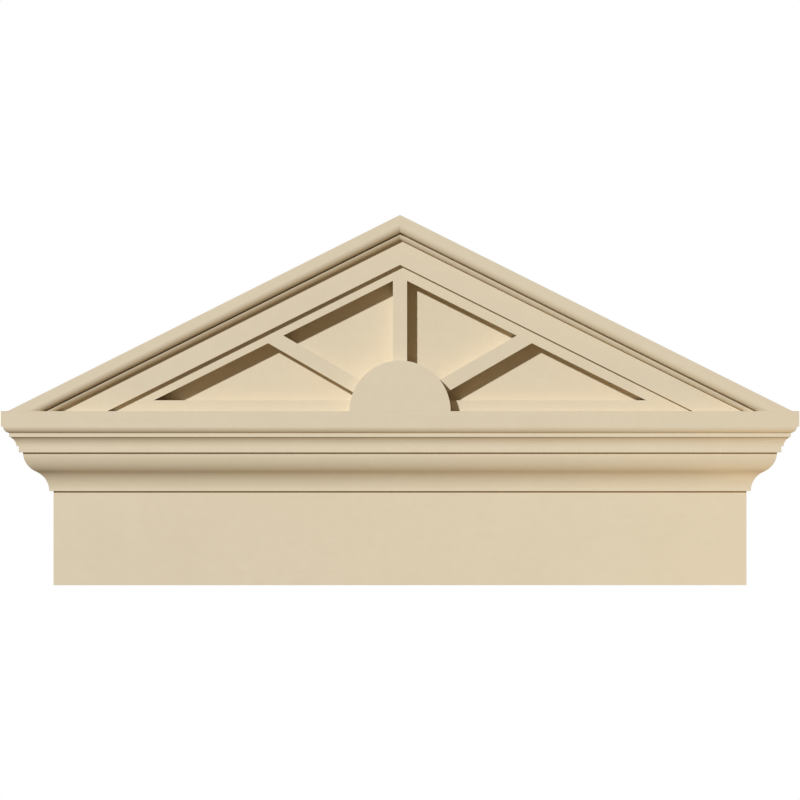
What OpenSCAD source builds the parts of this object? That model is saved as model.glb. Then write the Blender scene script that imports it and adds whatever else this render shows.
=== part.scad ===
// Gabled crosshead for a door or window: a frieze board under a crown and a cornice,
// and on them a plank that carries a low pediment with sunburst fretwork.
// +X runs along the board, the front faces -Y, the back lies on the wall at y = 0,
// and z = 0 is the underside of the frieze board. Every "projection" is measured
// forwards from the front face of the frieze board.

/* [Frieze board] */
// Length of the frieze board
frieze_width = 1219.2; // [900:0.1:2400]
// Height of the plain frieze that shows below the crown
frieze_reveal = 165.7; // [60:0.1:400]
// Thickness of the frieze board and of the panel behind the fretwork
board_thickness = 25.4; // [12:0.1:60]

/* [Crown moulding] */
// Projection of the crown at its top
crown_projection = 48.6; // [30:0.1:52]
// Projection of the crown at its toe
crown_toe = 7; // [2:0.1:12]
// Radius of both arcs of the ogee
crown_radius = 38.1; // [26:0.1:60]
// Height of the flat lip under the ogee
crown_lip = 0.7; // [0.2:0.1:10]
// Height of the fillet on the crown, flush with the foot of the cornice's cove
bed_height = 10.8; // [4:0.1:30]

/* [Cornice moulding] */
// Projection of the cornice, of the plank on it and of the raking caps
cornice_projection = 76.2; // [74:0.1:140]
// Overhang of the cornice beyond the crown's fillet at each end
cornice_overhang = 4; // [0:0.1:10]
// Radius of the cornice's ovolo
ovolo_radius = 11.1; // [8:0.1:12]
// Part of the ovolo's radius that the fillet below it covers
ovolo_cover = 1.6; // [0.2:0.1:3]
// Height of the fillet under the ovolo
fillet_height = 7.1; // [2:0.1:20]
// Setback from that fillet to the cove
cove_setback = 2.9; // [0.5:0.1:4]
// Radius of the cornice cove
cove_radius = 17.5; // [16:0.1:40]
// Depth of the cornice cove
cove_depth = 8.5; // [4:0.1:10]
// Height of the cornice cove
cove_height = 16.2; // [15.5:0.1:30]

/* [Gable] */
// Thickness of the plank between the cornice and the gable
base_thickness = 26.9; // [10:0.1:60]
// Overhang of that plank beyond each end of the cornice
base_overhang = 4; // [0:0.1:20]
// Rise of the raking caps in a run of 12
rise_in_12 = 6; // [4:0.1:12]
// Distance from the plank's end to the foot of the raking cap
rake_inset = 11.5; // [0:0.1:80]
// Height of the fascia on the raking cap
cap_fascia = 15.4; // [10:0.1:30]
// Radius of the raking cap's ovolo
cap_ovolo = 12; // [8:0.1:16]
// Height of the quirk below that ovolo
cap_quirk = 2.8; // [0.5:0.1:6]
// Radius of the round member below the quirk
bead_radius = 11.6; // [8:0.1:14]
// Height of that member
bead_height = 7.4; // [2:0.1:8]
// Setback of that member's full round behind the fascia
bead_setback = 9.8; // [4:0.1:11]
// Width of the flat raking band
band_width = 39.2; // [20:0.1:80]
// Thickness of the flat raking band
band_thickness = 11.1; // [4:0.1:15]

/* [Fretwork] */
// Thickness of the fretwork sheet
fret_thickness = 38.1; // [12:0.1:43]
// Width of the raking rails that show inside the bands
rail_width = 18.9; // [10:0.1:40]
// Height of the bottom rail above the cornice
bottom_rail = 18.9; // [10:0.1:40]
// Width of a spoke
spoke_width = 24.8; // [10:0.1:40]
// Slope of the outer spokes above the level
spoke_angle = 30; // [20:0.5:45]
// Radius of the half-disc hub
hub_radius = 88; // [60:0.1:110]
// Thickness of the hub, which stands on the fretwork
hub_thickness = 38.1; // [6:0.1:41]

/* [Hidden] */
$fn = 96;
TAN = "#DCCBAE";

// crown: two arcs that meet at the ogee's inflection, both upright at their outer ends
crown_top_centre = crown_projection - crown_radius;
crown_toe_centre = crown_toe + crown_radius;
ogee_height = sqrt(pow(2 * crown_radius, 2) - pow(crown_toe_centre - crown_top_centre, 2));
crown_bottom = frieze_reveal;
crown_top = crown_bottom + crown_lip + ogee_height;
bed_top = crown_top + bed_height;

// cornice, from the bottom up, and the projection of each face
cove_top = bed_top + cove_height;
fillet_top = cove_top + fillet_height;
ovolo_top = fillet_top + ovolo_radius;
ovolo_centre = cornice_projection - ovolo_radius;
fillet_face = ovolo_centre + ovolo_cover;
cove_face = fillet_face - cove_setback;
cove_foot = cove_face - cove_depth;
bed_face = cove_foot;

// gable
pitch = atan2(rise_in_12, 12);
frieze_end = frieze_width / 2;
base_end = frieze_end + cornice_overhang + cornice_projection + base_overhang;
base_top = ovolo_top + base_thickness;
rake_run = base_end - rake_inset;
apex = base_top + rake_run * tan(pitch);
rake_length = rake_run / cos(pitch);
cap_height = cap_fascia + cap_ovolo + cap_quirk + bead_height;
band_face = fret_thickness + band_thickness;
hub_face = fret_thickness + hub_thickness;
window_inset = cap_height + band_width + rail_width;
spoke_angles = [spoke_angle, 90, 180 - spoke_angle];

// half the foot of the gable, taken in from the rakes by an inset square to the slope
function gable_half(inset) = rake_run - inset / sin(pitch);

// ---- placing: drawings are (projection, height) for mouldings and (x, z) for flat work

// a moulding's profile run along the front, from one end of the length to the other
module run(length)
    translate([length / 2, -board_thickness, 0])
        rotate([90, 0, -90])
            linear_extrude(length)
                children();

// flat work that stands between two projections
module slab(back, front)
    translate([0, -board_thickness - back, 0])
        rotate([90, 0, 0])
            linear_extrude(front - back)
                children();

module left() mirror([1, 0, 0]) children();

// the front run of a moulding, with both ends cut to the mitre
module mitred_front(reach, top, overhang = 0) {
    end = frieze_end + overhang;
    intersection() {
        run(2 * (end + reach)) children();
        linear_extrude(top)
            polygon([
                [-end, -board_thickness],
                [end, -board_thickness],
                [end + reach, -board_thickness - reach],
                [-end - reach, -board_thickness - reach],
            ]);
    }
}

// the right-hand return of a moulding, from the mitre back to the wall, packed out
// to its overhang beyond the end of the frieze board
module mitred_return(reach, foot, top, overhang = 0) {
    end = frieze_end + overhang;
    intersection() {
        translate([end, 0, 0])
            rotate([90, 0, 0])
                linear_extrude(board_thickness + reach) {
                    children();
                    translate([-overhang, foot])
                        square([overhang + crown_toe, top - foot]);
                }
        linear_extrude(top)
            polygon([
                [frieze_end, 0],
                [end + reach, 0],
                [end + reach, -board_thickness - reach],
                [end, -board_thickness],
                [frieze_end, -board_thickness],
            ]);
    }
}

// the right-hand half of whatever runs down the rake, standing on the plank
module rake_half()
    intersection() {
        translate([0, 0, apex])
            rotate([0, pitch, 0])
                run(4 * rake_length)
                    children();
        translate([0, -board_thickness - cornice_projection, base_top])
            cube([rake_run, board_thickness + cornice_projection, apex]);
    }

// ---- profiles

// Every profile is a stack of blocks. Each block runs from its own foot up to the
// top of the moulding, so that it overlaps the wider one above it.
module block(face, foot, top)
    translate([0, foot])
        square([face, top - foot]);

// a disc's front lower quarter, bulging forwards, with the block that backs it
module round_nose(centre, radius, foot, top)
    intersection() {
        block(centre + radius, foot, top);
        union() {
            translate([centre, foot + radius])
                circle(radius);
            translate([centre - top, foot])
                square([top, top - foot]);
        }
    }

module crown_profile() {
    square_from = crown_bottom + crown_lip;
    inflection = square_from + ogee_height / 2;
    inflection_projection = (crown_top_centre + crown_toe_centre) / 2;
    block(crown_toe, crown_bottom, bed_top);
    // concave half: a block less the lower circle
    difference() {
        block(inflection_projection, square_from, inflection);
        translate([crown_toe_centre, square_from])
            circle(crown_radius);
    }
    // convex half: what the upper circle holds, which meets the lower one in a tangent
    intersection() {
        block(crown_projection, square_from, crown_top);
        union() {
            translate([crown_top_centre, crown_top])
                circle(crown_radius);
            translate([crown_top_centre - crown_top, inflection])
                square([crown_top, ogee_height]);
        }
    }
    block(bed_face, crown_top, bed_top);
}

module cornice_profile() {
    difference() {
        block(cove_face, bed_top, ovolo_top);
        translate([cove_foot + cove_radius, bed_top])
            circle(cove_radius);
    }
    block(fillet_face, cove_top, ovolo_top);
    round_nose(ovolo_centre, ovolo_radius, fillet_top, ovolo_top);
}

// drawn downwards from the sloping top face, and reaching back to the wall
module cap_profile() {
    ovolo_foot = -cap_fascia - cap_ovolo;
    core = cornice_projection - bead_setback - bead_radius;
    block(cornice_projection, -cap_fascia, 0);
    translate([0, ovolo_foot])
        round_nose(cornice_projection - cap_ovolo, cap_ovolo, 0, -ovolo_foot);
    translate([0, -cap_height])
        round_nose(core, bead_radius, 0, bead_height);
    translate([-board_thickness, -cap_height])
        square([board_thickness + core, cap_height]);
}

// ---- outlines of the flat work

module gable(inset)
    polygon([
        [-gable_half(inset), base_top],
        [gable_half(inset), base_top],
        [0, base_top + gable_half(inset) * tan(pitch)],
    ]);

// the half of the hub's circle that stands above the plank
module half_disc()
    intersection() {
        translate([0, base_top])
            circle(hub_radius);
        translate([-hub_radius, base_top])
            square([2 * hub_radius, hub_radius]);
    }

module spokes()
    for (angle = spoke_angles)
        translate([0, base_top])
            rotate(angle)
                translate([0, -spoke_width / 2])
                    square([rake_run, spoke_width]);

// the openings between the rails, the spokes and the hub
module windows()
    difference() {
        intersection() {
            gable(window_inset);
            translate([-rake_run, base_top + bottom_rail])
                square([2 * rake_run, apex]);
        }
        spokes();
        half_disc();
    }

// the right-hand band: a strip along the rake, mitred at the apex
module band_outline() {
    outer = gable_half(cap_height);
    inner = gable_half(cap_height + band_width);
    polygon([
        [0, base_top + outer * tan(pitch)],
        [outer, base_top],
        [inner, base_top],
        [0, base_top + inner * tan(pitch)],
    ]);
}

// ---- pieces

module frieze_board()
    color(TAN)
        translate([-frieze_end, -board_thickness, 0])
            cube([frieze_width, board_thickness, ovolo_top]);

module crown_front()
    color(TAN) mitred_front(bed_face, bed_top) crown_profile();

module crown_return_right()
    color(TAN) mitred_return(bed_face, crown_bottom, bed_top) crown_profile();

module crown_return_left()
    left() crown_return_right();

module cornice_front()
    color(TAN)
        mitred_front(cornice_projection, ovolo_top, cornice_overhang)
            cornice_profile();

module cornice_return_right()
    color(TAN)
        mitred_return(cornice_projection, bed_top, ovolo_top, cornice_overhang)
            cornice_profile();

module cornice_return_left()
    left() cornice_return_right();

module gable_base()
    color(TAN)
        translate([-base_end, -board_thickness - cornice_projection, ovolo_top])
            cube([2 * base_end, board_thickness + cornice_projection, base_thickness]);

module back_panel()
    color(TAN) slab(-board_thickness, 0) gable(cap_height);

module fretwork()
    color(TAN)
        slab(0, fret_thickness)
            difference() {
                gable(cap_height);
                windows();
            }

module hub()
    color(TAN) slab(fret_thickness, hub_face) half_disc();

module rake_band_right()
    color(TAN) slab(fret_thickness, band_face) band_outline();

module rake_band_left()
    left() rake_band_right();

module rake_cap_right()
    color(TAN) rake_half() cap_profile();

module rake_cap_left()
    left() rake_cap_right();

frieze_board();
crown_front();
crown_return_left();
crown_return_right();
cornice_front();
cornice_return_left();
cornice_return_right();
gable_base();
back_panel();
fretwork();
hub();
rake_band_left();
rake_band_right();
rake_cap_left();
rake_cap_right();
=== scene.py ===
"""Gabled crosshead for a door or window, finished in tan primer.

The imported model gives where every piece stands. Each piece is built again here with its full
profile, its eased edges and its paint, in metres, with +X along the board, the front facing -Y
and the wall at y = 0. A "projection" is measured forwards from the frieze board's front face.
"""

import math

import bmesh
import bpy
from bpy.props import FloatProperty, FloatVectorProperty, PointerProperty
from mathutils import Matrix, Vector


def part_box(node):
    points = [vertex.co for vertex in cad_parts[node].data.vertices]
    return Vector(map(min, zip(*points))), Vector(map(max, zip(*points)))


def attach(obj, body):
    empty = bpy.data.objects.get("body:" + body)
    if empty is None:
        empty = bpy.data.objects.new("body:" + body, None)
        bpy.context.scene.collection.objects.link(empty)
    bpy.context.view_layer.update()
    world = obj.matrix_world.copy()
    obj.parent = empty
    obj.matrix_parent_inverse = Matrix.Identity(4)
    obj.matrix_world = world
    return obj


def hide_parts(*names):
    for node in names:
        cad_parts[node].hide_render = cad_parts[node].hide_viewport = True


bl_info = {
    "name": "Gabled Crosshead",
    "version": (1, 0, 0),
    "blender": (4, 5, 0),
    "location": "View3D > Sidebar > Crosshead",
    "description": "Builds a gabled crosshead with sunburst fretwork around its packed frame",
    "category": "Add Mesh",
}

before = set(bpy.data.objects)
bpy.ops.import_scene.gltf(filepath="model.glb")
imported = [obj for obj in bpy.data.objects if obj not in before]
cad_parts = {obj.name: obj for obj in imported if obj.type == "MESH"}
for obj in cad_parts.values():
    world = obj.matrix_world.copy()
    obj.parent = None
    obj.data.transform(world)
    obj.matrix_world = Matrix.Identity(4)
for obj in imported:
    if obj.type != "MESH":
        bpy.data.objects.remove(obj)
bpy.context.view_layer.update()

MM = 0.001
ARC_STEP = 3.0  # degrees between the points of an arc
ARRIS_STEPS = 3  # segments round a sanded edge
SMOOTH_BELOW = math.radians(10)  # edges that turn less than this are shaded smooth
CLEAR_BY = 0.1 * MM  # an edge this far from a face doesn't lie on it
EASED, TIGHT = 1.0, 0.0  # whether a corner of a profile has its arris taken off


# ---- sizes

class CrossheadSizes(bpy.types.PropertyGroup):
    """The sizes that the frame's boxes don't give."""

    crown_toe: FloatProperty(
        name="Crown toe", description="Projection of the crown at its toe",
        default=7.0 * MM, unit="LENGTH")
    crown_radius: FloatProperty(
        name="Crown radius", description="Radius of both arcs of the ogee",
        default=38.1 * MM, unit="LENGTH")
    crown_lip: FloatProperty(
        name="Crown lip", description="Height of the flat lip under the ogee",
        default=0.7 * MM, unit="LENGTH")
    bed_height: FloatProperty(
        name="Bed height", description="Height of the fillet on the crown, under the cornice",
        default=10.8 * MM, unit="LENGTH")
    ovolo_radius: FloatProperty(
        name="Ovolo radius", description="Radius of the cornice's ovolo",
        default=11.1 * MM, unit="LENGTH")
    ovolo_cover: FloatProperty(
        name="Ovolo cover", description="Part of the ovolo's radius that the fillet covers",
        default=1.6 * MM, unit="LENGTH")
    fillet_height: FloatProperty(
        name="Fillet height", description="Height of the fillet under the cornice's ovolo",
        default=7.1 * MM, unit="LENGTH")
    cove_setback: FloatProperty(
        name="Cove setback", description="Setback from the fillet to the cove",
        default=2.9 * MM, unit="LENGTH")
    cove_radius: FloatProperty(
        name="Cove radius", description="Radius of the cornice cove",
        default=17.5 * MM, unit="LENGTH")
    cove_depth: FloatProperty(
        name="Cove depth", description="Depth of the cornice cove",
        default=8.5 * MM, unit="LENGTH")
    cap_fascia: FloatProperty(
        name="Cap fascia", description="Height of the fascia on the raking cap",
        default=15.4 * MM, unit="LENGTH")
    cap_ovolo: FloatProperty(
        name="Cap ovolo", description="Radius of the raking cap's ovolo",
        default=12.0 * MM, unit="LENGTH")
    cap_quirk: FloatProperty(
        name="Cap quirk", description="Height of the quirk below that ovolo",
        default=2.8 * MM, unit="LENGTH")
    bead_radius: FloatProperty(
        name="Bead radius", description="Radius of the round member below the quirk",
        default=11.6 * MM, unit="LENGTH")
    bead_setback: FloatProperty(
        name="Bead setback", description="Setback of that member's full round behind the fascia",
        default=9.8 * MM, unit="LENGTH")
    band_width: FloatProperty(
        name="Band width", description="Width of the flat raking band",
        default=39.2 * MM, unit="LENGTH")
    rail_width: FloatProperty(
        name="Rail width", description="Width of the raking rails inside the bands",
        default=18.9 * MM, unit="LENGTH")
    bottom_rail: FloatProperty(
        name="Bottom rail", description="Height of the fretwork's bottom rail above the plank",
        default=18.9 * MM, unit="LENGTH")
    spoke_width: FloatProperty(
        name="Spoke width", description="Width of a spoke",
        default=24.8 * MM, unit="LENGTH")
    spoke_angle: FloatProperty(
        name="Spoke angle", description="Slope of the outer spokes above the level",
        default=math.radians(30), unit="ROTATION")
    arris: FloatProperty(
        name="Arris", description="Radius to which a sharp edge is sanded",
        default=0.3 * MM, unit="LENGTH")


class CrossheadFinish(bpy.types.PropertyGroup):
    """The coat of primer."""

    colour: FloatVectorProperty(
        name="Primer", description="Colour of the primer",
        default=(0.715, 0.600, 0.420), size=3, subtype="COLOR")
    shade: FloatVectorProperty(
        name="Thin coat", description="Colour where the coat is thinner",
        default=(0.675, 0.560, 0.385), size=3, subtype="COLOR")
    sheen: FloatProperty(
        name="Roughness", description="Roughness of the dry coat",
        default=0.52, min=0, max=1, subtype="FACTOR")
    peel: FloatProperty(
        name="Orange peel", description="Height of the sprayed coat's fine dimples",
        default=0.05 * MM, unit="LENGTH")


class Layout:
    """Places that follow from the frame's boxes and from the sizes."""

    def __init__(self, sizes):
        self.sizes = sizes
        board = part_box("frieze_board")
        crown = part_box("crown_front")
        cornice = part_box("cornice_front")
        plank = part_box("gable_base")
        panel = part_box("back_panel")
        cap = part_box("rake_cap_right")
        self.board_front = board[0].y
        self.frieze_end = board[1].x
        self.crown_bottom, self.bed_top = crown[0].z, crown[1].z
        self.bed_face = self.projection(crown)
        self.ovolo_top = cornice[1].z
        self.cornice_projection = self.projection(cornice)
        self.cornice_end = cornice[1].x - self.cornice_projection
        self.base_top = plank[1].z
        self.rake_run, self.apex = cap[1].x, cap[1].z
        self.pitch = math.atan2(self.apex - self.base_top, self.rake_run)
        self.cap_height = (self.rake_run - panel[1].x) * math.sin(self.pitch)
        self.fret_face = self.projection(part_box("fretwork"))
        self.band_face = self.projection(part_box("rake_band_right"))
        self.hub_face = self.projection(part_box("hub"))
        self.hub_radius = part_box("hub")[1].x
        ovolo_centre = self.cornice_projection - sizes.ovolo_radius
        self.fillet_face = ovolo_centre + sizes.ovolo_cover
        self.cove_face = self.fillet_face - sizes.cove_setback
        self.crown_top = self.bed_top - sizes.bed_height

    def projection(self, box):
        """How far a box stands in front of the frieze board."""
        return self.board_front - box[0].y

    def gable_half(self, inset):
        """Half the gable's foot, taken in from the rakes by an inset square to the slope."""
        return self.rake_run - inset / math.sin(self.pitch)


def layout():
    return Layout(bpy.context.scene.crosshead_sizes)


# ---- node trees written as expressions

class Graph:
    """Adds nodes to one tree."""

    def __init__(self, tree):
        self.tree = tree

    def node(self, kind, settings=None, inputs=None):
        """One node: its settings first, then the value or link of each named input."""
        made = self.tree.nodes.new(kind)
        for name, value in (settings or {}).items():
            setattr(made, name, value)
        for name, value in (inputs or {}).items():
            if isinstance(value, Term):
                self.tree.links.new(value.socket, made.inputs[name])
            else:
                made.inputs[name].default_value = value
        return made

    def term(self, kind, settings=None, inputs=None, output=0):
        """One node's output, ready for an expression."""
        return Term(self, self.node(kind, settings, inputs).outputs[output])

    def vector(self, operation, a, b, output="Vector"):
        return self.term("ShaderNodeVectorMath", {"operation": operation}, {0: a, 1: b}, output)

    def scaled(self, a, factor):
        return self.term(
            "ShaderNodeVectorMath", {"operation": "SCALE"}, {0: a, "Scale": factor}, "Vector")


class Term:
    """A node's output. + - * / and their reflected forms add Math nodes."""

    def __init__(self, graph, socket):
        self.graph, self.socket = graph, socket

    def math(self, operation, a, b):
        return self.graph.term("ShaderNodeMath", {"operation": operation}, {0: a, 1: b})

    def __add__(self, other):
        return self.math("ADD", self, other)

    __radd__ = __add__

    def __sub__(self, other):
        return self.math("SUBTRACT", self, other)

    def __rsub__(self, other):
        return self.math("SUBTRACT", other, self)

    def __mul__(self, other):
        return self.math("MULTIPLY", self, other)

    __rmul__ = __mul__

    def __truediv__(self, other):
        return self.math("DIVIDE", self, other)


# ---- the moulding stick: a profile run between two cuts

STICK_INPUTS = {
    "Arris": "NodeSocketFloat",
    "Origin": "NodeSocketVector",
    "Forward": "NodeSocketVector",
    "Up": "NodeSocketVector",
    "Along": "NodeSocketVector",
    "First Point": "NodeSocketVector",
    "First Normal": "NodeSocketVector",
    "Last Point": "NodeSocketVector",
    "Last Normal": "NodeSocketVector",
    "Finish": "NodeSocketMaterial",
}
MERGE_WITHIN = 0.01 * MM


def stick_tree():
    """The node tree that turns a flat profile into a stick of moulding.

    The profile lies in XY, x its projection and y its height. It is extruded by one unit, and
    every point is then slid along the run onto the first cut (z = 0) or the last (z = 1).
    """
    name = "moulding_stick"
    if name in bpy.data.node_groups:
        return bpy.data.node_groups[name]
    tree = bpy.data.node_groups.new(name, "GeometryNodeTree")
    tree.interface.new_socket("Profile", in_out="INPUT", socket_type="NodeSocketGeometry")
    for label, kind in STICK_INPUTS.items():
        tree.interface.new_socket(label, in_out="INPUT", socket_type=kind)
    tree.interface.new_socket("Stick", in_out="OUTPUT", socket_type="NodeSocketGeometry")

    g = Graph(tree)
    given = g.node("NodeGroupInput")
    size = {label: Term(g, given.outputs[label]) for label in ["Profile", *STICK_INPUTS]}

    corner = g.term(
        "GeometryNodeInputNamedAttribute", {"data_type": "FLOAT"}, {"Name": "corner"}, "Attribute")
    outline = g.term("GeometryNodeMeshToCurve", inputs={"Mesh": size["Profile"]})
    rounded = g.term("GeometryNodeFilletCurve", {"mode": "POLY"}, {
        "Curve": outline, "Count": ARRIS_STEPS, "Radius": corner * size["Arris"],
        "Limit Radius": True})
    face = g.term("GeometryNodeFillCurve", {"mode": "NGONS"}, {"Curve": rounded})
    one_up = g.term("ShaderNodeCombineXYZ", inputs={"Z": 1.0})
    tube = g.term("GeometryNodeExtrudeMesh", {"mode": "FACES"}, {
        "Mesh": face, "Offset": one_up, "Offset Scale": 1.0, "Individual": False})
    foot = g.term("GeometryNodeFlipFaces", inputs={"Mesh": face})
    joined = g.node("GeometryNodeJoinGeometry")
    for part in (foot, tube):
        tree.links.new(part.socket, joined.inputs[0])
    closed = g.term("GeometryNodeMergeByDistance", inputs={
        "Geometry": Term(g, joined.outputs[0]), "Distance": MERGE_WITHIN})

    at = g.node("ShaderNodeSeparateXYZ", inputs={0: g.term("GeometryNodeInputPosition")})
    x, y, end = (Term(g, at.outputs[i]) for i in range(3))
    across = g.vector("ADD", g.scaled(size["Forward"], x), g.scaled(size["Up"], y))
    placed = g.vector("ADD", size["Origin"], across)

    def slide(point, normal):
        """How far a point moves along the run to reach a cut."""
        gap = g.vector("SUBTRACT", size[point], placed)
        return (g.vector("DOT_PRODUCT", gap, size[normal], "Value")
                / g.vector("DOT_PRODUCT", size["Along"], size[normal], "Value"))

    first = slide("First Point", "First Normal")
    last = slide("Last Point", "Last Normal")
    run = g.scaled(size["Along"], first + end * (last - first))
    cut = g.term("GeometryNodeSetPosition", inputs={
        "Geometry": closed, "Position": g.vector("ADD", placed, run)})
    real = g.term("GeometryNodeRealizeInstances", inputs={"Geometry": cut})
    painted = g.term("GeometryNodeSetMaterial", inputs={
        "Geometry": real, "Material": size["Finish"]})
    g.node("NodeGroupOutput", inputs={"Stick": painted})
    return tree


def arc_steps(sweep):
    """How many chords stand for an arc of so many degrees."""
    return max(2, math.ceil(abs(sweep) / ARC_STEP))


class Outline:
    """A closed profile: points of (projection, height, corner), anticlockwise."""

    def __init__(self):
        self.points = []

    def to(self, x, y, corner=TIGHT):
        self.points.append((x, y, corner))
        return self

    def arc(self, centre, radius, start, end, first=TIGHT, last=TIGHT):
        """An arc between two angles in degrees, with the corners at its ends."""
        steps = arc_steps(end - start)
        for i in range(steps + 1):
            angle = math.radians(start + (end - start) * i / steps)
            corner = first if i == 0 else last if i == steps else TIGHT
            self.to(centre[0] + radius * math.cos(angle),
                    centre[1] + radius * math.sin(angle), corner)
        return self


def show(mesh, node):
    """Links a finished mesh in place of its CAD node."""
    mesh.shade_smooth()
    mesh.set_sharp_from_angle(angle=SMOOTH_BELOW)
    piece = bpy.data.objects.new("painted_" + node, mesh)
    bpy.context.scene.collection.objects.link(piece)
    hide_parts(node)
    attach(piece, "root")


def evaluated(obj):
    """The object's mesh after its modifiers. The object and its modifiers are then removed."""
    bpy.context.view_layer.update()
    graph = bpy.context.evaluated_depsgraph_get()
    mesh = bpy.data.meshes.new_from_object(obj.evaluated_get(graph), depsgraph=graph)
    obj.modifiers.clear()
    bpy.data.objects.remove(obj)
    return mesh


def stick(node, outline, finish, forward, up, origin, cuts):
    """A length of moulding, from its profile, its two directions and its two cuts."""
    flat = bpy.data.meshes.new(node + "_profile")
    count = len(outline.points)
    flat.from_pydata(
        [(x, y, 0) for x, y, _ in outline.points], [(i, (i + 1) % count) for i in range(count)], [])
    corners = flat.attributes.new("corner", "FLOAT", "POINT")
    corners.data.foreach_set("value", [corner for _, _, corner in outline.points])
    blank = bpy.data.objects.new(node + "_blank", flat)
    bpy.context.scene.collection.objects.link(blank)
    forward, up = Vector(forward), Vector(up)
    (first_point, first_normal), (last_point, last_normal) = cuts
    values = {
        "Arris": bpy.context.scene.crosshead_sizes.arris,
        "Origin": origin,
        "Forward": forward,
        "Up": up,
        "Along": forward.cross(up),
        "First Point": first_point,
        "First Normal": first_normal,
        "Last Point": last_point,
        "Last Normal": last_normal,
        "Finish": finish,
    }
    modifier = blank.modifiers.new("stick", "NODES")
    modifier.node_group = stick_tree()
    for item in modifier.node_group.interface.items_tree:
        if item.in_out == "INPUT" and item.name in values:
            value = values[item.name]
            plain = value if item.name in ("Arris", "Finish") else list(value)
            modifier[item.identifier] = plain
    mesh = evaluated(blank)
    if not mesh.polygons:
        raise RuntimeError(f"{node}: the profile gave no stick")
    show(mesh, node)


# ---- profiles

def crown_profile(at):
    """An ogee between a toe and a fillet: a hollow arc below, a round one above."""
    s = at.sizes
    foot = (s.crown_toe + s.crown_radius, at.crown_bottom + s.crown_lip)
    climb = at.crown_top - foot[1]
    spread = math.acos(climb / (2 * s.crown_radius))
    top = (foot[0] - 2 * s.crown_radius * math.sin(spread), at.crown_top)
    tilt = 90 + math.degrees(spread)
    outline = Outline().to(0, at.crown_bottom).to(s.crown_toe, at.crown_bottom, EASED)
    outline.arc(foot, s.crown_radius, 180, tilt)
    outline.arc(top, s.crown_radius, tilt - 180 + ARC_STEP, 0)
    outline.to(at.bed_face, at.crown_top, EASED)
    return outline.to(at.bed_face, at.bed_top).to(0, at.bed_top)


def underside(outline, face, radius, foot, start=-90.0, end=0.0):
    """Part of the lower front quarter of a disc, which touches a face and stands on a foot."""
    return outline.arc((face - radius, foot + radius), radius, start, end)


def cornice_profile(at):
    """Cove, fillet and ovolo, reaching back to the end of the frieze board."""
    s = at.sizes
    fillet_top = at.ovolo_top - s.ovolo_radius
    cove_top = fillet_top - s.fillet_height
    cove_foot = at.cove_face - s.cove_depth
    cove_end = math.degrees(math.acos(s.cove_depth / s.cove_radius - 1))
    back = at.frieze_end - at.cornice_end
    outline = Outline().to(back, at.bed_top)
    outline.arc((cove_foot + s.cove_radius, at.bed_top), s.cove_radius, 180, cove_end,
                EASED, EASED)
    outline.to(at.cove_face, cove_top).to(at.fillet_face, cove_top, EASED)
    start = -math.degrees(math.acos(s.ovolo_cover / s.ovolo_radius))
    underside(outline, at.cornice_projection, s.ovolo_radius, fillet_top, start)
    return outline.to(back, at.ovolo_top)


def cap_profile(at):
    """The raking cap, drawn downwards from its sloping top and back to the wall."""
    s = at.sizes
    ovolo_foot = -s.cap_fascia - s.cap_ovolo
    bead_top = ovolo_foot - s.cap_quirk
    bead_face = at.cornice_projection - s.bead_setback
    core = bead_face - s.bead_radius
    bead_end = -math.degrees(math.asin(1 - (bead_top + at.cap_height) / s.bead_radius))
    outline = Outline().to(at.board_front, -at.cap_height)
    underside(outline, bead_face, s.bead_radius, -at.cap_height, end=bead_end)
    outline.to(core, bead_top).to(core, ovolo_foot)
    underside(outline, at.cornice_projection, s.cap_ovolo, ovolo_foot)
    return outline.to(at.cornice_projection, 0, EASED).to(at.board_front, 0)


def band_profile(at):
    """The flat band under the cap. Its top edge closes on the cap."""
    top, foot = -at.cap_height, -at.cap_height - at.sizes.band_width
    outline = Outline().to(at.fret_face, foot).to(at.band_face, foot, EASED)
    return outline.to(at.band_face, top).to(at.fret_face, top)


# ---- flat work

def eased_solid(node, work, eased, finish):
    """Closes a bmesh into a piece and sands the edges that the test picks."""
    bmesh.ops.recalc_face_normals(work, faces=work.faces)
    weight = work.edges.layers.float.new("bevel_weight_edge")
    for edge in work.edges:
        corner = edge.calc_face_angle(0) > SMOOTH_BELOW
        edge[weight] = 1.0 if corner and eased(edge) else 0.0
    mesh = bpy.data.meshes.new(node + "_blank")
    work.to_mesh(mesh)
    work.free()
    mesh.materials.append(finish)
    blank = bpy.data.objects.new(node + "_blank", mesh)
    bpy.context.scene.collection.objects.link(blank)
    bevel = blank.modifiers.new("arris", "BEVEL")
    bevel.width = bpy.context.scene.crosshead_sizes.arris
    bevel.segments = ARRIS_STEPS
    bevel.limit_method = "WEIGHT"
    show(evaluated(blank), node)


def board(node, finish, eased):
    """A plain board that fills its CAD box."""
    low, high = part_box(node)
    work = bmesh.new()
    bmesh.ops.create_cube(work, size=1)
    for vert in work.verts:
        vert.co = (low + high) / 2 + vert.co * (high - low)
    eased_solid(node, work, eased, finish)


def sheet(node, contours, back, front, finish, eased):
    """Flat work cut from a sheet: closed contours of (x, z), the first the outside."""
    at = layout()
    work = bmesh.new()
    for contour in contours:
        verts = [work.verts.new((x, at.board_front - back, z)) for x, z in contour]
        for i, vert in enumerate(verts):
            work.edges.new((verts[i - 1], vert))
    bmesh.ops.triangle_fill(work, use_beauty=True, use_dissolve=False, edges=work.edges[:])
    made = bmesh.ops.extrude_face_region(work, geom=work.faces[:], use_keep_orig=True)
    for item in made["geom"]:
        if isinstance(item, bmesh.types.BMVert):
            item.co.y = at.board_front - front
    eased_solid(node, work, eased, finish)


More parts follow.
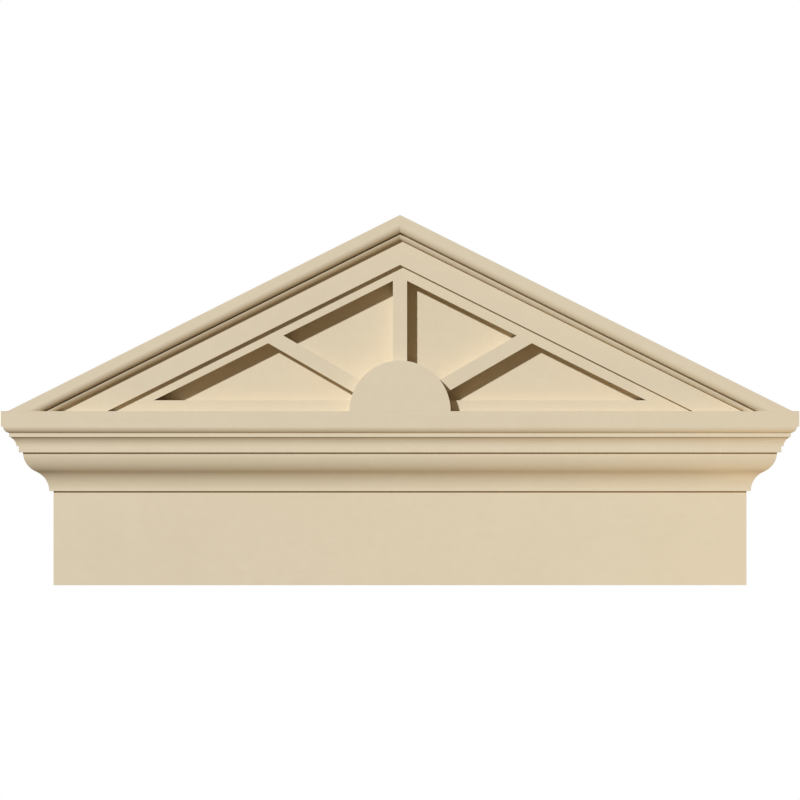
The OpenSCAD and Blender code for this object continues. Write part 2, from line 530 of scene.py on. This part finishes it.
def gable(at, inset):
    """The triangle that an inset from the rakes leaves."""
    half = at.gable_half(inset)
    return [(-half, at.base_top), (half, at.base_top),
            (0, at.base_top + half * math.tan(at.pitch))]


def hub_arc(at, start, end):
    """Points round the hub, between two angles, both ends included."""
    steps = arc_steps(math.degrees(end - start))
    angles = [start + (end - start) * i / steps for i in range(steps + 1)]
    return [(at.hub_radius * math.cos(a), at.base_top + at.hub_radius * math.sin(a))
            for a in angles]


def on_rail(at, angle, offset):
    """Where a line at an angle, offset from the hub's centre, meets the raking rail."""
    s = at.sizes
    half = at.gable_half(at.cap_height + s.band_width + s.rail_width)
    run, rise = math.cos(angle), math.sin(angle)
    fall = math.tan(at.pitch)
    x0, z0 = -offset * rise, offset * run
    reach = ((half - x0) * fall - z0) / (rise + run * fall)
    return x0 + reach * run, at.base_top + z0 + reach * rise


def window_contours(at):
    """The four openings: two beside the upright spoke and two below the outer spokes."""
    s = at.sizes
    half_spoke = s.spoke_width / 2
    spread = math.asin(half_spoke / at.hub_radius)
    upright = math.pi / 2
    rail_angle = math.asin(s.bottom_rail / at.hub_radius)
    lower = [on_rail(at, 0, s.bottom_rail), on_rail(at, s.spoke_angle, -half_spoke)]
    lower += hub_arc(at, s.spoke_angle - spread, rail_angle)
    upper = [on_rail(at, s.spoke_angle, half_spoke), on_rail(at, upright, -half_spoke)]
    upper += hub_arc(at, upright - spread, s.spoke_angle + spread)
    mirrored = [[(-x, z) for x, z in reversed(contour)] for contour in (lower, upper)]
    return [lower, upper, *mirrored]


# ---- paint

# the layers of the coat's noise: features to the metre, detail and roughness
CLOUDS = (7, 4, 0.6)
MOTTLE = (55, 5, 0.65)
SPECKS = (420, 3, 0.6)
STREAKS = (160, 3, 0.5)
DIMPLES = (650, 2, 0.5)
DRAWN_OUT = (0.02, 1, 1)  # what makes the streaks long


def primer(name, turn=(0, 0, 0)):
    """A sprayed coat of satin primer, its long streaks turned to lie along the piece."""
    if name in bpy.data.materials:
        return bpy.data.materials[name]
    finish = bpy.context.scene.crosshead_finish
    material = bpy.data.materials.new(name)
    material.use_nodes = True
    material.node_tree.nodes.clear()
    g = Graph(material.node_tree)
    place = g.term("ShaderNodeTexCoord", output="Object")
    lengthwise = g.term(
        "ShaderNodeMapping", {"vector_type": "TEXTURE"}, {"Vector": place, "Rotation": turn})

    def noise(vector, layer):
        scale, detail, roughness = layer
        return g.term("ShaderNodeTexNoise", inputs={
            "Vector": vector, "Scale": scale, "Detail": detail, "Roughness": roughness})

    clouds = noise(place, CLOUDS)
    mottle = noise(place, MOTTLE)
    specks = noise(place, SPECKS)
    streaks = noise(g.vector("MULTIPLY", lengthwise, DRAWN_OUT), STREAKS)
    thin = (0.9 * clouds + 1.1 * mottle + 0.5 * specks + 0.5 * streaks) - 1.0
    colour = g.term("ShaderNodeMix", {"data_type": "RGBA", "clamp_factor": True}, {
        0: thin, 6: (*finish.colour, 1), 7: (*finish.shade, 1)}, 2)
    roughness = finish.sheen + 0.16 * (mottle - 0.5) + 0.1 * (specks - 0.5)

    dimples = noise(place, DIMPLES)
    height = 0.7 * dimples + 0.3 * specks
    peel = g.term("ShaderNodeBump", inputs={
        "Strength": 1.0, "Distance": finish.peel, "Height": height}, output="Normal")
    waves = g.term("ShaderNodeBump", inputs={
        "Strength": 0.5, "Distance": finish.peel, "Height": streaks + 0.5 * mottle,
        "Normal": peel}, output="Normal")
    shader = g.term("ShaderNodeBsdfPrincipled", inputs={
        "Base Color": colour, "Roughness": roughness, "Normal": waves, "IOR": 1.45})
    g.node("ShaderNodeOutputMaterial", inputs={"Surface": shader})
    return material


def level_primer():
    return primer("primer_level")


def return_primer():
    return primer("primer_return", (0, 0, math.pi / 2))


def rake_primer(side, pitch):
    return primer("primer_rake_" + side, (0, pitch if side == "right" else -pitch, 0))


# ---- operators

class CROSSHEAD_OT_boards(bpy.types.Operator):
    """Builds the frieze board and the plank under the gable"""

    bl_idname = "crosshead.boards"
    bl_label = "Boards"

    def execute(self, context):
        at = layout()
        board("frieze_board", level_primer(), lambda edge: True)

        def clear_of_ovolo(edge):
            """All edges but the one that is flush with the ovolo under it."""
            return any(v.co.z > at.ovolo_top + CLEAR_BY for v in edge.verts)

        board("gable_base", level_primer(), clear_of_ovolo)
        return {"FINISHED"}


def moulding(at, name, outline, end):
    """A moulding's front run and its two returns, mitred at x = -end and x = end."""
    for side, sign in (("left", -1), ("right", 1)):
        corner = (sign * end, at.board_front, 0)
        mitre = (corner, (1, sign, 0))
        wall = ((0, 0, 0), (0, 1, 0))
        cuts = (mitre, wall) if side == "left" else (wall, mitre)
        stick(f"{name}_return_{side}", outline, return_primer(), (sign, 0, 0), (0, 0, 1),
              corner, cuts)
    right = ((end, at.board_front, 0), (1, 1, 0))
    left = ((-end, at.board_front, 0), (1, -1, 0))
    stick(f"{name}_front", outline, level_primer(), (0, -1, 0), (0, 0, 1),
          (0, at.board_front, 0), (right, left))


class CROSSHEAD_OT_crown(bpy.types.Operator):
    """Builds the crown moulding's front run and its returns"""

    bl_idname = "crosshead.crown"
    bl_label = "Crown"

    def execute(self, context):
        at = layout()
        moulding(at, "crown", crown_profile(at), at.frieze_end)
        return {"FINISHED"}


class CROSSHEAD_OT_cornice(bpy.types.Operator):
    """Builds the cornice moulding's front run and its returns"""

    bl_idname = "crosshead.cornice"
    bl_label = "Cornice"

    def execute(self, context):
        at = layout()
        moulding(at, "cornice", cornice_profile(at), at.cornice_end)
        return {"FINISHED"}


class CROSSHEAD_OT_fretwork(bpy.types.Operator):
    """Builds the back panel, the sunburst fretwork and its hub"""

    bl_idname = "crosshead.fretwork"
    bl_label = "Fretwork"

    def execute(self, context):
        at = layout()
        finish = level_primer()

        def on_front(front):
            """Edges of the front face that stand clear of the plank."""
            y = at.board_front - front + CLEAR_BY
            z = at.base_top + CLEAR_BY
            return lambda edge: (all(v.co.y < y for v in edge.verts)
                                 and any(v.co.z > z for v in edge.verts))

        outer = gable(at, at.cap_height)
        sheet("back_panel", [outer], at.board_front, 0, finish, lambda edge: False)
        sheet("fretwork", [outer, *window_contours(at)], 0, at.fret_face, finish,
              on_front(at.fret_face))
        sheet("hub", [hub_arc(at, 0, math.pi)], at.fret_face, at.hub_face, finish,
              on_front(at.hub_face))
        return {"FINISHED"}


class CROSSHEAD_OT_rakes(bpy.types.Operator):
    """Builds the raking bands and the raking caps"""

    bl_idname = "crosshead.rakes"
    bl_label = "Rakes"

    def execute(self, context):
        at = layout()
        top = (0, at.board_front, at.apex)
        plumb = (top, (1, 0, 0))
        level = ((0, 0, at.base_top), (0, 0, 1))
        for side, sign in (("left", -1), ("right", 1)):
            up = (sign * math.sin(at.pitch), 0, math.cos(at.pitch))
            cuts = (plumb, level) if side == "left" else (level, plumb)
            finish = rake_primer(side, at.pitch)
            stick(f"rake_band_{side}", band_profile(at), finish, (0, -1, 0), up, top, cuts)
            stick(f"rake_cap_{side}", cap_profile(at), finish, (0, -1, 0), up, top, cuts)
        return {"FINISHED"}


# ---- stage

CAMERA_DISTANCE = 6.158  # from the frieze board's front face
LENS, SENSOR = 157.5, 36  # mm
COOL = (0.864, 0.925, 1.0)
WARM = (1.0, 0.81, 0.58)
WORLD_FILL = 0.18
KEY_ENERGY = 3.36
KEY_PLACE = (-2, -4, 2)
KEY_TRAVEL = (0.475, 1.0, -0.44)  # the way the key light goes
KEY_SPREAD = math.radians(2)
LOW_POWER = 7.5
LOW_PLACE = (1.1, -0.13, -0.75)  # below the right end
LOW_TRAVEL = (-1.1, 0.03, 1.0)
LOW_WIDTH, LOW_DEPTH = 0.9, 0.3


def studio_world():
    """A white backdrop that lights the piece with a dim, warm fill."""
    world = bpy.data.worlds.new("studio")
    bpy.context.scene.world = world
    world.use_nodes = True
    world.node_tree.nodes.clear()
    g = Graph(world.node_tree)
    fill = g.term("ShaderNodeBackground", inputs={"Color": (*WARM, 1), "Strength": WORLD_FILL})
    white = g.term("ShaderNodeBackground", inputs={"Color": (1, 1, 1, 1), "Strength": 1.0})
    seen = g.term("ShaderNodeLightPath", output="Is Camera Ray")
    both = g.term("ShaderNodeMixShader", inputs={0: seen, 1: fill, 2: white})
    g.node("ShaderNodeOutputWorld", inputs={"Surface": both})


def lamp(name, kind, colour, energy, place, travel):
    """A light that shines along a direction."""
    data = bpy.data.lights.new(name, kind)
    data.color, data.energy = colour, energy
    light = bpy.data.objects.new(name, data)
    light.location = place
    light.rotation_mode = "QUATERNION"
    light.rotation_quaternion = Vector(travel).to_track_quat("-Z", "Y")
    bpy.context.scene.collection.objects.link(light)
    return data


class CROSSHEAD_OT_stage(bpy.types.Operator):
    """Sets up the backdrop, the lights and the camera"""

    bl_idname = "crosshead.stage"
    bl_label = "Stage"

    def execute(self, context):
        scene = context.scene
        at = layout()
        studio_world()
        key = lamp("key", "SUN", COOL, KEY_ENERGY, KEY_PLACE, KEY_TRAVEL)
        key.angle = KEY_SPREAD
        low = lamp("low_fill", "AREA", WARM, LOW_POWER, LOW_PLACE, LOW_TRAVEL)
        low.shape, low.size, low.size_y = "RECTANGLE", LOW_WIDTH, LOW_DEPTH

        data = bpy.data.cameras.new("camera")
        data.lens, data.sensor_width = LENS, SENSOR
        camera = bpy.data.objects.new("camera", data)
        near = CAMERA_DISTANCE - at.cornice_projection
        height = at.apex * CAMERA_DISTANCE / (CAMERA_DISTANCE + near)
        camera.location = (0, at.board_front - CAMERA_DISTANCE, height)
        camera.rotation_euler = (math.pi / 2, 0, 0)
        scene.collection.objects.link(camera)
        scene.camera = camera
        scene.view_settings.view_transform = "Standard"
        return {"FINISHED"}


class CROSSHEAD_PT_panel(bpy.types.Panel):
    """Lists the crosshead's sizes, its finish and its steps"""

    bl_idname = "CROSSHEAD_PT_panel"
    bl_label = "Crosshead"
    bl_space_type = "VIEW_3D"
    bl_region_type = "UI"
    bl_category = "Crosshead"

    def draw(self, context):
        for group in (context.scene.crosshead_sizes, context.scene.crosshead_finish):
            column = self.layout.column(align=True)
            for name in group.__annotations__:
                column.prop(group, name)
        for step in STEPS:
            self.layout.operator(step.bl_idname)


STEPS = (
    CROSSHEAD_OT_stage,
    CROSSHEAD_OT_boards,
    CROSSHEAD_OT_crown,
    CROSSHEAD_OT_cornice,
    CROSSHEAD_OT_fretwork,
    CROSSHEAD_OT_rakes,
)
GROUPS = {"crosshead_sizes": CrossheadSizes, "crosshead_finish": CrossheadFinish}


def register():
    for group in GROUPS.values():
        bpy.utils.register_class(group)
    for name, group in GROUPS.items():
        setattr(bpy.types.Scene, name, PointerProperty(type=group))
    for step in (*STEPS, CROSSHEAD_PT_panel):
        bpy.utils.register_class(step)


def unregister():
    for step in (CROSSHEAD_PT_panel, *reversed(STEPS)):
        bpy.utils.unregister_class(step)
    for name in GROUPS:
        delattr(bpy.types.Scene, name)
    for group in GROUPS.values():
        bpy.utils.unregister_class(group)


def main():
    register()
    bpy.ops.crosshead.stage()
    bpy.ops.crosshead.boards()
    bpy.ops.crosshead.crown()
    bpy.ops.crosshead.cornice()
    bpy.ops.crosshead.fretwork()
    bpy.ops.crosshead.rakes()


if __name__ == "__main__":
    main()
